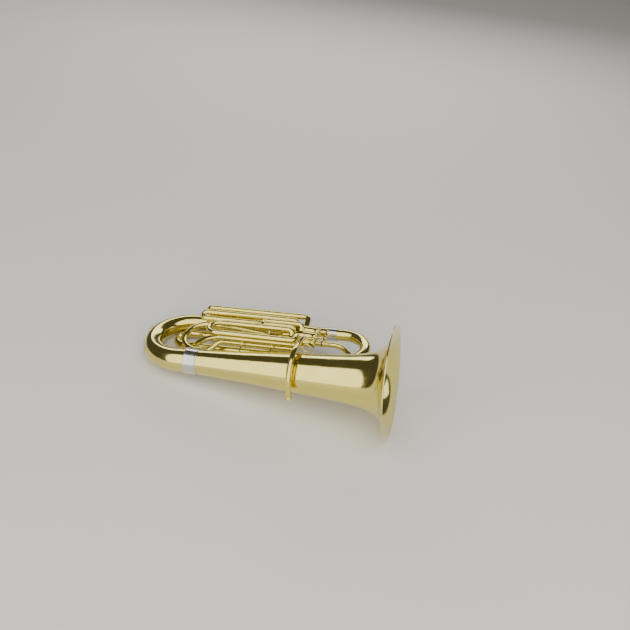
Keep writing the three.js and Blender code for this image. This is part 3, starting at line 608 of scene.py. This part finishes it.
piece("second_outer_tubes",
      outer_tube(*SECOND_LOW, -440, -376) + outer_tube(*SECOND_TOP, -440, -352)
      + [port_pipe(-376, SECOND_LOW, [[PORTS[0], *SECOND_LOW], [PORTS[0], 0, 0]], 1),
         port_pipe(-352, SECOND_TOP, [[PORTS[1], *SECOND_TOP], [PORTS[1], 0, 0]], 1)],
      brass, stands_for="second_slide_sleeves")
piece("second_crook", [crook(SECOND_LOW, SECOND_TOP, -386, -457),
                       collar(*SECOND_LOW, -451, -440.6), collar(*SECOND_TOP, -451, -440.6)],
      brass, body="second_slide", stands_for="second_slide")


def ring(centre, around, radius, thickness, turns=72):
    """A round-wire ring about an axis: a circle swept round a larger circle."""
    around = np.asarray(around, float)
    side = np.cross(around, [1.0, 0.3, 0.2])
    side /= np.linalg.norm(side)
    other = np.cross(around, side)
    a = np.linspace(0, 2 * np.pi, turns, endpoint=False)
    b = np.linspace(0, 2 * np.pi, 16, endpoint=False)
    spoke = np.cos(a)[:, None] * side + np.sin(a)[:, None] * other
    reach = radius + thickness * np.cos(b)
    points = (np.asarray(centre, float) + spoke[:, None] * reach[None, :, None]
              + np.sin(b)[None, :, None] * thickness * around)
    return lattice(points, True)


ring_y, ring_z = (SECOND_LOW[0] + SECOND_TOP[0]) / 2, SECOND_LOW[1]
piece("finger_ring", [
    ring([-476.9, ring_y, ring_z], [0, 0, 1], 9.5, 1.25),
    solid_rod([[-467.6, ring_y, ring_z], [-465.3, ring_y, ring_z]], 2.6, 20)],
    brass, body="second_slide", stands_for="second_slide_pull_ring")

piece("third_front_outer_tubes",
      outer_tube(*FRONT_TOP, -640, -376) + outer_tube(*FRONT_LOW, -640, -425)
      + [between(FRONT_TOP, FRONT_LOW, -560, 9.3, 1.7),
         port_pipe(-376, FRONT_TOP, [[PORTS[0], *FRONT_TOP], [PORTS[0], 0, 0]], 2)],
      brass, stands_for="third_front_slide_sleeves")
piece("third_front_crook", [crook(FRONT_TOP, FRONT_LOW, -530, -680),
                            collar(*FRONT_TOP, -652, -640.6), collar(*FRONT_LOW, -652, -640.6)],
      brass, body="third_front_slide", stands_for="third_front_slide")

piece("third_back_outer_tubes",
      outer_tube(*BACK_TOP, -640, -346) + outer_tube(*BACK_LOW, -640, -425)
      + [between(BACK_TOP, BACK_LOW, -560, 9.3, 1.7), between(FRONT_TOP, BACK_TOP, -437, 9.3, 2.4),
         spun(np.array([[-437, 231, 61.5], [-437, 231, 70.5]]), [
             [0, 0], [0.2, 1.8], [1.4, 3.4], [3, 4.2], [4.8, 4.3], [6.6, 3.7], [8.2, 2.2],
             [9, 0]], 24),
         port_pipe(-346, BACK_TOP, [[PORTS[2], *BACK_TOP], [PORTS[2], 0, 0]], 2)],
      brass, stands_for="third_back_slide_sleeves")
piece("third_back_crook", [crook(BACK_TOP, BACK_LOW, -530, -673),
                           collar(*BACK_TOP, -652, -640.6), collar(*BACK_LOW, -652, -640.6)],
      brass, body="third_back_slide", stands_for="third_back_slide")

return_bow_path = rounded([[-424.7, *BACK_LOW], [-404, *BACK_LOW], [-404, 221, 28],
                           [-404, *FRONT_LOW], [-424.7, *FRONT_LOW]], 11.5, 5)
piece("third_return_run", [tube(return_bow_path, 9.2)], brass, stands_for="third_return_bow")

# ---- Leadpipe, receiver, braces and rings -------------------------------------------------
# The leadpipe crosses over the bell from the turned mouthpiece receiver to the first valve.
# Cast posts with round feet carry the tuning slide on the bell; a ring takes the right thumb.
LEAD_R = 88
lead_turn = np.radians([-90, -72, -54, -36, -18, 2])
lead_arc = np.stack([-306 + (np.degrees(lead_turn) + 90) * 0.03, LEAD_R * np.sin(lead_turn),
                     LEAD_R * np.cos(lead_turn)], axis=1)
lead_path = np.vstack([[[-306, -LEAD_R, -9.7]],
                       flowing([*lead_arc, [-303, 52, 82], [-302, 92, 72], [-301, 116, 58],
                                [-301, 121, 50.6]], 120)])
piece("leadpipe_run", [tube(lead_path, (8.8, 9.0))], brass, stands_for="leadpipe")
piece("receiver_cup", [spun(np.array([[-306, -88, -38.0], [-306, -88, -10]]), [
    [0, 6.9], [0, 10.6], [0.4, 11], [2.2, 11], [2.9, 10.3], [3.9, 10.3], [4.5, 11], [6.4, 11],
    [7.4, 10.2], [9.4, 9.9], [24, 9.5], [24.6, 10], [27.4, 10], [28, 9.5], [28, 6.2]], 56)],
    brass, stands_for="mouthpiece_receiver")

for number, x, bell_r in ((1, -503, 48.3), (2, -403, 56.2)):
    out = np.array([0, *TUNE_TOP], float)
    far = np.linalg.norm(out)
    foot = np.array([x, 0, 0]) + out / far * (bell_r + 0.5)
    head = np.array([x, 0, 0]) + out / far * (far - 9.9)
    piece(f"bell_post_{number}", [strut(foot, head, 2.2, 4.8)], brass,
          stands_for=f"bell_brace_{number}")

THUMB_CENTRE = (-276.5, 36, 74)
piece("thumb_loop", [
    ring(THUMB_CENTRE, [0, 1, 0], 12.9, 1.7, 96),
    solid_rod([[-295.0, 36, 78.0], [-290.0, 36, 74.3]], 2.6, 24)],
    brass, stands_for="thumb_ring")

# ---- Guard on the bottom bow and the water key --------------------------------------------
# A thin nickel-silver plate is soldered over the outside of the bow's turn. The water key is
# a sprung lever on a saddle; its cork pad closes the drain hole of the tuning bow.
guard_run = np.r_[0, np.cumsum(np.linalg.norm(np.diff(bow_path, axis=0), axis=1))]
guard_turn = np.radians(np.linspace(-39, 39, 48))
guard_across = np.linspace(-1, 1, 33)
guard_spine = np.stack([BOW_TURN - BOW_R * np.cos(guard_turn),
                        BOW_R + BOW_R * np.sin(guard_turn), 0 * guard_turn], axis=1)
guard_share = np.interp(guard_spine[:, 1], bow_path[:, 1], guard_run) / guard_run[-1]
guard_out = np.stack([-np.cos(guard_turn), np.sin(guard_turn), 0 * guard_turn], axis=1)


def guard_skin(lift):
    """The bow's own surface over 90 degrees of its outside, raised by lift."""
    r = (39.9 + (25.3 - 39.9) * guard_share + lift)[:, None, None]
    swing = np.radians(43 * guard_across)[None, :, None]
    up = np.array([0, 0, 1.0])
    return guard_spine[:, None] + r * (np.cos(swing) * guard_out[:, None] + np.sin(swing) * up)


guard_top, guard_under = guard_skin(0.95), guard_skin(0.25)
guard_half = (guard_top + guard_under) / 2
guard_rows = [np.concatenate([a, b[:, ::-1]], axis=1)
              for a, b in ((guard_half[:1], guard_half[:1]), (guard_top, guard_under),
                           (guard_half[-1:], guard_half[-1:]))]
piece("bow_plate", [lattice(np.concatenate(guard_rows), False)], nickel,
      stands_for="bow_guard")

cork = bpy.data.materials.new("natural cork")
cork.use_nodes = True
bark = cork.node_tree
bark.nodes.clear()
cork_place = node(bark, "ShaderNodeTexCoord")
granules = node(bark, "ShaderNodeTexVoronoi", {"Scale": 1000 / 1.1},
                {"Vector": (cork_place, "Object")})
cork_tone = node(bark, "ShaderNodeMix", {6: linear("#b98f61"), 7: linear("#7d5a38")},
                 {0: (granules, "Distance")}, data_type="RGBA")
cork_pits = node(bark, "ShaderNodeBump", {"Strength": 0.5, "Distance": 0.0002},
                 {"Height": (granules, "Distance")})
cork_shader = node(bark, "ShaderNodeBsdfPrincipled", {"Roughness": 0.85, "IOR": 1.45},
                   {"Base Color": (cork_tone, 2), "Normal": (cork_pits, "Normal")})
node(bark, "ShaderNodeOutputMaterial", {}, {"Surface": (cork_shader, "BSDF")})

KEY_X, KEY_Y, KEY_Z = -628, 67, -43
PIN_X = KEY_X + 20


def slab(low, high, bevel=0.35):
    """A block with its upright edges rounded: a squared circle carried from low z to high z."""
    low, high = np.asarray(low, float), np.asarray(high, float)
    angle = np.linspace(0, 2 * np.pi, 32, endpoint=False)
    shape = np.stack([np.cos(angle), np.sin(angle)], axis=1)
    shape /= (np.abs(shape) ** 8).sum(axis=1, keepdims=True) ** 0.125
    half, middle = (high - low) / 2, (high + low) / 2
    rows = []
    for z, share in ((low[2], 0), (low[2], 1), (low[2] + bevel, 1), (high[2] - bevel, 1),
                     (high[2], 1), (high[2], 0)):
        inset = bevel if z in (low[2], high[2]) else 0
        flat = middle[:2] + shape * np.maximum(half[:2] - inset, 0) * share
        rows.append(np.column_stack([flat, np.full(len(flat), z)]))
    return lattice(np.array(rows), False)


lever_path = flowing([[KEY_X - 4, KEY_Y, KEY_Z], [KEY_X + 10, KEY_Y, KEY_Z],
                      [KEY_X + 30, KEY_Y, KEY_Z], [KEY_X + 44, KEY_Y - 0.6, KEY_Z]], 24)
piece("water_lever", [
    solid_rod(lever_path, 1.8, 20, 0.8),
    spun(np.array([[KEY_X, KEY_Y, KEY_Z], [KEY_X, KEY_Y + 3.6, KEY_Z]]),
         [[0, 0], [0, 2.4], [0.6, 4.2], [1.4, 5], [3.6, 5], [3.6, 0]], 32),
    spun(np.array([[PIN_X, KEY_Y, KEY_Z - 3.4], [PIN_X, KEY_Y, KEY_Z + 0.6]]),
         [[0, 1.4], [0, 2.7], [0.3, 2.9], [3.7, 2.9], [4, 2.7], [4, 1.4]], 32)],
    brass, body="water_key", stands_for="water_key_lever")
piece("water_pad", [spun(np.array([[KEY_X, 70.9, KEY_Z], [KEY_X, 73.2, KEY_Z]]),
                         [[0, 0], [0, 4.2], [0.2, 4.4], [1.9, 4.4], [2.3, 3.9], [2.3, 0]], 32)],
      cork, body="water_key", stands_for="water_key_cork")
piece("water_saddle", [
    slab([PIN_X - 4, 71.6, KEY_Z - 5.4], [PIN_X + 4, 74.2, KEY_Z + 5.4]),
    slab([PIN_X - 3, 64.4, KEY_Z - 5.2], [PIN_X + 3, 72, KEY_Z - 3.8]),
    slab([PIN_X - 3, 64.4, KEY_Z + 3.8], [PIN_X + 3, 72, KEY_Z + 5.2]),
    solid_rod([[PIN_X, KEY_Y, KEY_Z - 5.6], [PIN_X, KEY_Y, KEY_Z + 5.6]], 1.0, 20)],
    brass, stands_for="water_key_saddle")
coil = np.linspace(0, 2.5 * 2 * np.pi, 60)
coil_path = np.vstack([
    [[PIN_X - 16, KEY_Y - 2.3, KEY_Z + 2.3], [PIN_X - 4, KEY_Y - 2.2, KEY_Z + 2.3]],
    np.stack([PIN_X + 2.1 * np.sin(coil), KEY_Y - 2.1 * np.cos(coil),
              KEY_Z + 2.3 + coil * 0.06], axis=1)])
piece("water_spring", [solid_rod(coil_path, 0.32, 10, 0.1)], steel, body="water_key",
      stands_for="water_key_spring")

# ---- Floor, light and camera --------------------------------------------------------------
# A plain pale floor, a large soft light in front and above, a small faint one to the right
# and a wide dimmer one behind.
low, high = cad_box
middle = (np.array(low) + np.array(high)) / 2

floor_material = bpy.data.materials.new("pale matt floor")
floor_material.use_nodes = True
floor_tree = floor_material.node_tree
floor_tree.nodes.clear()
floor_shader = node(floor_tree, "ShaderNodeBsdfPrincipled",
                    {"Base Color": linear("#e6e4df"), "Roughness": 0.9})
node(floor_tree, "ShaderNodeOutputMaterial", {}, {"Surface": (floor_shader, "BSDF")})
floor_mesh = bpy.data.meshes.new("floor")
reach = 14.0
floor_mesh.from_pydata([(-reach, -reach, low[2]), (reach, -reach, low[2]),
                        (reach, reach, low[2]), (-reach, reach, low[2])], [], [(0, 1, 2, 3)])
floor_mesh.materials.append(floor_material)
floor = bpy.data.objects.new("floor", floor_mesh)
bpy.context.scene.collection.objects.link(floor)

world = bpy.data.worlds.new("studio")
bpy.context.scene.world = world
world.use_nodes = True
world_tree = world.node_tree
world_tree.nodes.clear()
sky = node(world_tree, "ShaderNodeBackground", {"Color": linear("#8d8b88"), "Strength": 0.3})
node(world_tree, "ShaderNodeOutputWorld", {}, {"Surface": (sky, "Background")})


def softbox(name, spot, target, width, height, watts, tint="#ffffff"):
    """A rectangular area light that faces its target."""
    lamp = bpy.data.lights.new(name, "AREA")
    lamp.shape = "RECTANGLE"
    lamp.size, lamp.size_y, lamp.energy = width, height, watts
    lamp.color = linear(tint)[:3]
    thing = bpy.data.objects.new(name, lamp)
    spot, target = np.asarray(spot, float), np.asarray(target, float)
    back = (spot - target) / np.linalg.norm(spot - target)
    side = np.cross([0, 0, 1.0], back)
    side /= np.linalg.norm(side)
    turn = np.array([side, np.cross(back, side), back]).T
    thing.matrix_world = Matrix([[*turn[k], spot[k]] for k in range(3)] + [[0, 0, 0, 1]])
    bpy.context.scene.collection.objects.link(thing)


softbox("key", middle + [0.2, -2.6, 2.7], middle + [0, 0, 0.2], 8.5, 7.5, 450, "#fffdf6")
softbox("side", middle + [3.2, 0.4, 1.0], middle, 1.4, 1.6, 16, "#eef3ff")
softbox("back", middle + [-0.6, 3.4, 1.5], middle, 4.0, 1.2, 45, "#ffffff")

# The camera stands on the bell's side, higher than the valves and past the rim, and is
# turned back towards the instrument.
SWING, TILT, LEAN, LENS = np.radians(14.068), np.radians(29.419), np.radians(-1.339), 49.5
eye = place([313.05, -2197.18, 1493.93])
toward_eye = np.array([np.sin(SWING) * np.cos(TILT), -np.cos(SWING) * np.cos(TILT),
                       np.sin(TILT)])
right = np.cross(-toward_eye, [0, 0, 1])
right /= np.linalg.norm(right)
above = np.cross(right, -toward_eye)
right, above = (np.cos(LEAN) * right + np.sin(LEAN) * above,
                -np.sin(LEAN) * right + np.cos(LEAN) * above)
turn = np.array([right, above, toward_eye]) @ axes
camera = bpy.data.cameras.new("camera")
camera.lens, camera.sensor_width = LENS, 36
view = bpy.data.objects.new("camera", camera)
view.matrix_world = Matrix([[*turn.T[k], eye[k]] for k in range(3)] + [[0, 0, 0, 1]])
bpy.context.scene.collection.objects.link(view)
bpy.context.scene.camera = view
